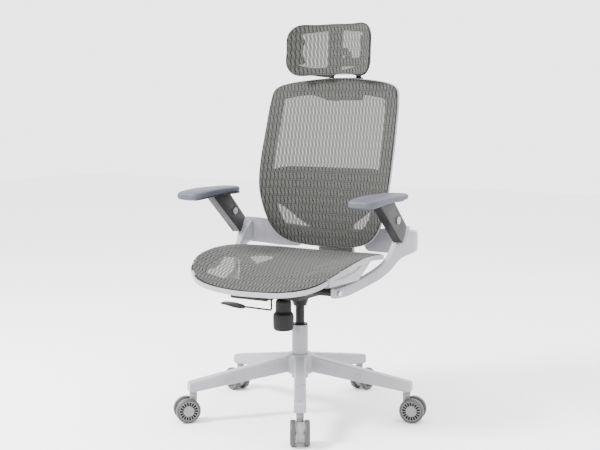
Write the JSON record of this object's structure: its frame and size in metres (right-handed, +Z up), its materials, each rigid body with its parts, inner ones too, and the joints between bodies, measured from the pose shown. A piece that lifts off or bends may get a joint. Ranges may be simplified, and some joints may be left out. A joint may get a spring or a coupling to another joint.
{
  "type": "mesh office chair",
  "caption": "Mesh-backed task chair with headrest, flip-up armrests, reclining back, gas lift and a five-star base on casters.",
  "frame": {"origin": "on the floor, on the axis of the gas lift", "axes": "+Z up, -Y the way the sitter faces, +X to the sitter's left"},
  "size_m": [0.7688, 0.7499, 1.212],
  "materials": {
    "white_nylon": "moulded glass-filled nylon, fine satin",
    "white_steel": "powder coated, satin",
    "black_plastic": "moulded, fine spark grain",
    "steel": "zinc plated",
    "black_steel": "powder coated, satin",
    "grey_yoke": "moulded, satin",
    "dark_plastic": "moulded, fine grain",
    "pad": "soft integral-skin polyurethane",
    "cap_white": "steel pin with white end caps",
    "mesh": "open knitted mesh of polyester and elastomer yarn",
    "caster_grey": "moulded nylon",
    "wheel": "nylon wheel, polyurethane tread"
  },
  "bodies": {
    "base": {"star_base": "white_nylon", "outer_gas_tube": "white_steel", "guide_bushing": "black_plastic", "thrust_bearing": "steel", "caster_stems": "steel"},
    "gas_rod": {"piston_rod": "steel", "retaining_clip": "steel"},
    "lift": {"pressure_tube": "black_steel", "mechanism_housing": "black_steel", "tilt_pins": "steel", "tension_spring": "steel", "seat_plate": "black_steel", "seat_frame": "white_nylon", "seat_mesh": "mesh", "seat_bolts": "steel"},
    "valve_pin": {"release_pin": "steel"},
    "tension_adjuster": {"tension_knob": "black_plastic", "tension_screw": "steel"},
    "gas_lever": {"gas_lever_rod": "black_steel", "gas_lever_paddle": "black_plastic"},
    "tilt_lock": {"tilt_lock_rod": "black_steel", "tilt_lock_grip": "black_plastic"},
    "back": {"back_carrier": "white_nylon", "back_yoke": "grey_yoke", "back_frame": "white_nylon", "mesh_carrier": "dark_plastic", "back_mesh": "mesh", "lumbar_panel": "dark_plastic", "back_bolts": "steel", "headrest_guide": "black_plastic", "arm_pivot_pins": "cap_white"},
    "headrest_post": {"headrest_stem": "black_steel"},
    "headrest": {"headrest_frame": "dark_plastic", "headrest_mesh": "mesh"},
    "left_arm": {"arm_sleeve_left": "dark_plastic", "arm_pad_plate_left": "dark_plastic", "arm_pad_left": "pad"},
    "right_arm": {"arm_sleeve_right": "dark_plastic", "arm_pad_plate_right": "dark_plastic", "arm_pad_right": "pad"},
    "caster_fork_1": {"caster_housing_1": "caster_grey", "caster_axle_1": "steel"},
    "caster_wheel_body_1_left": {"caster_wheel_1_left": "wheel"},
    "caster_wheel_body_1_right": {"caster_wheel_1_right": "wheel"},
    "caster_fork_2": {"caster_housing_2": "caster_grey", "caster_axle_2": "steel"},
    "caster_wheel_body_2_left": {"caster_wheel_2_left": "wheel"},
    "caster_wheel_body_2_right": {"caster_wheel_2_right": "wheel"},
    "caster_fork_3": {"caster_housing_3": "caster_grey", "caster_axle_3": "steel"},
    "caster_wheel_body_3_left": {"caster_wheel_3_left": "wheel"},
    "caster_wheel_body_3_right": {"caster_wheel_3_right": "wheel"},
    "caster_fork_4": {"caster_housing_4": "caster_grey", "caster_axle_4": "steel"},
    "caster_wheel_body_4_left": {"caster_wheel_4_left": "wheel"},
    "caster_wheel_body_4_right": {"caster_wheel_4_right": "wheel"},
    "caster_fork_5": {"caster_housing_5": "caster_grey", "caster_axle_5": "steel"},
    "caster_wheel_body_5_left": {"caster_wheel_5_left": "wheel"},
    "caster_wheel_body_5_right": {"caster_wheel_5_right": "wheel"}
  },
  "joints": [
    {"name": "seat_swivel", "type": "hinge", "parent": "base", "child": "gas_rod", "pos_m": [0, 0, 0.118], "axis": [0, 0, 1], "continuous": true},
    {"name": "seat_height", "type": "slide", "parent": "gas_rod", "child": "lift", "axis": [0, 0, 1], "range_m": [-0.05, 0.04]},
    {"name": "gas_lever_lift", "type": "hinge", "parent": "lift", "child": "gas_lever", "pos_m": [-0.048, -0.06, 0.4045], "axis": [0, 1, 0], "range_deg": [0, 4], "stiffness_Nm_per_rad": 6, "springref_deg": -14.32},
    {"name": "release_pin_press", "type": "slide", "parent": "lift", "child": "valve_pin", "axis": [0, 0, -1], "range_m": [0, 0.0045], "stiffness_N_per_m": 900, "springref_m": -0.003},
    {"name": "tilt_lock_slide", "type": "slide", "parent": "lift", "child": "tilt_lock", "axis": [-1, 0, 0], "range_m": [0, 0.01]},
    {"name": "tension_knob_turn", "type": "hinge", "parent": "lift", "child": "tension_adjuster", "pos_m": [0, -0.096, 0.323], "axis": [0, 0, 1], "continuous": true},
    {"name": "back_recline", "type": "hinge", "parent": "lift", "child": "back", "pos_m": [0, -0.118, 0.409], "axis": [-1, 0, 0], "range_deg": [0, 20], "stiffness_Nm_per_rad": 70, "springref_deg": -34.38},
    {"name": "headrest_height", "type": "slide", "parent": "back", "child": "headrest_post", "axis": [0, 0, 1], "range_m": [0, 0.045]},
    {"name": "headrest_tilt", "type": "hinge", "parent": "headrest_post", "child": "headrest", "pos_m": [0, 0.252, 1.125], "axis": [-1, 0, 0], "range_deg": [0, 30]},
    {"name": "arm_flip_left", "type": "hinge", "parent": "back", "child": "left_arm", "pos_m": [0.295, 0.053, 0.614], "axis": [-1, 0, 0], "range_deg": [0, 90]},
    {"name": "arm_flip_right", "type": "hinge", "parent": "back", "child": "right_arm", "pos_m": [-0.295, 0.053, 0.614], "axis": [-1, 0, 0], "range_deg": [0, 90]},
    {"name": "caster_swivel_1", "type": "hinge", "parent": "base", "child": "caster_fork_1", "pos_m": [0.17765, -0.2899, 0.083], "axis": [0, 0, 1], "continuous": true},
    {"name": "wheel_spin_1_left", "type": "hinge", "parent": "caster_fork_1", "child": "caster_wheel_body_1_left", "pos_m": [0.1881, -0.30695, 0.0375], "axis": [0.8526, 0.5225, 0], "continuous": true},
    {"name": "wheel_spin_1_right", "type": "hinge", "parent": "caster_fork_1", "child": "caster_wheel_body_1_right", "pos_m": [0.1881, -0.30695, 0.0375], "axis": [0.8526, 0.5225, 0], "continuous": true},
    {"name": "caster_swivel_2", "type": "hinge", "parent": "base", "child": "caster_fork_2", "pos_m": [0.33061, 0.07937, 0.083], "axis": [0, 0, 1], "continuous": true},
    {"name": "wheel_spin_2_left", "type": "hinge", "parent": "caster_fork_2", "child": "caster_wheel_body_2_left", "pos_m": [0.35005, 0.08404, 0.0375], "axis": [-0.2334, 0.9724, 0], "continuous": true},
    {"name": "wheel_spin_2_right", "type": "hinge", "parent": "caster_fork_2", "child": "caster_wheel_body_2_right", "pos_m": [0.35005, 0.08404, 0.0375], "axis": [-0.2334, 0.9724, 0], "continuous": true},
    {"name": "caster_swivel_3", "type": "hinge", "parent": "base", "child": "caster_fork_3", "pos_m": [0.02668, 0.33895, 0.083], "axis": [0, 0, 1], "continuous": true},
    {"name": "wheel_spin_3_left", "type": "hinge", "parent": "caster_fork_3", "child": "caster_wheel_body_3_left", "pos_m": [0.02824, 0.35889, 0.0375], "axis": [-0.9969, 0.0785, 0], "continuous": true},
    {"name": "wheel_spin_3_right", "type": "hinge", "parent": "caster_fork_3", "child": "caster_wheel_body_3_right", "pos_m": [0.02824, 0.35889, 0.0375], "axis": [-0.9969, 0.0785, 0], "continuous": true},
    {"name": "caster_swivel_4", "type": "hinge", "parent": "base", "child": "caster_fork_4", "pos_m": [-0.31412, 0.13011, 0.083], "axis": [0, 0, 1], "continuous": true},
    {"name": "wheel_spin_4_left", "type": "hinge", "parent": "caster_fork_4", "child": "caster_wheel_body_4_left", "pos_m": [-0.3326, 0.13777, 0.0375], "axis": [-0.3827, -0.9239, 0], "continuous": true},
    {"name": "wheel_spin_4_right", "type": "hinge", "parent": "caster_fork_4", "child": "caster_wheel_body_4_right", "pos_m": [-0.3326, 0.13777, 0.0375], "axis": [-0.3827, -0.9239, 0], "continuous": true},
    {"name": "caster_swivel_5", "type": "hinge", "parent": "base", "child": "caster_fork_5", "pos_m": [-0.22081, -0.25854, 0.083], "axis": [0, 0, 1], "continuous": true},
    {"name": "wheel_spin_5_left", "type": "hinge", "parent": "caster_fork_5", "child": "caster_wheel_body_5_left", "pos_m": [-0.2338, -0.27375, 0.0375], "axis": [0.7604, -0.6494, 0], "continuous": true},
    {"name": "wheel_spin_5_right", "type": "hinge", "parent": "caster_fork_5", "child": "caster_wheel_body_5_right", "pos_m": [-0.2338, -0.27375, 0.0375], "axis": [0.7604, -0.6494, 0], "continuous": true}
  ],
  "couplings": [
    {"joint": "release_pin_press", "follows": "gas_lever_lift", "m_per_rad": 0.048}
  ]
}
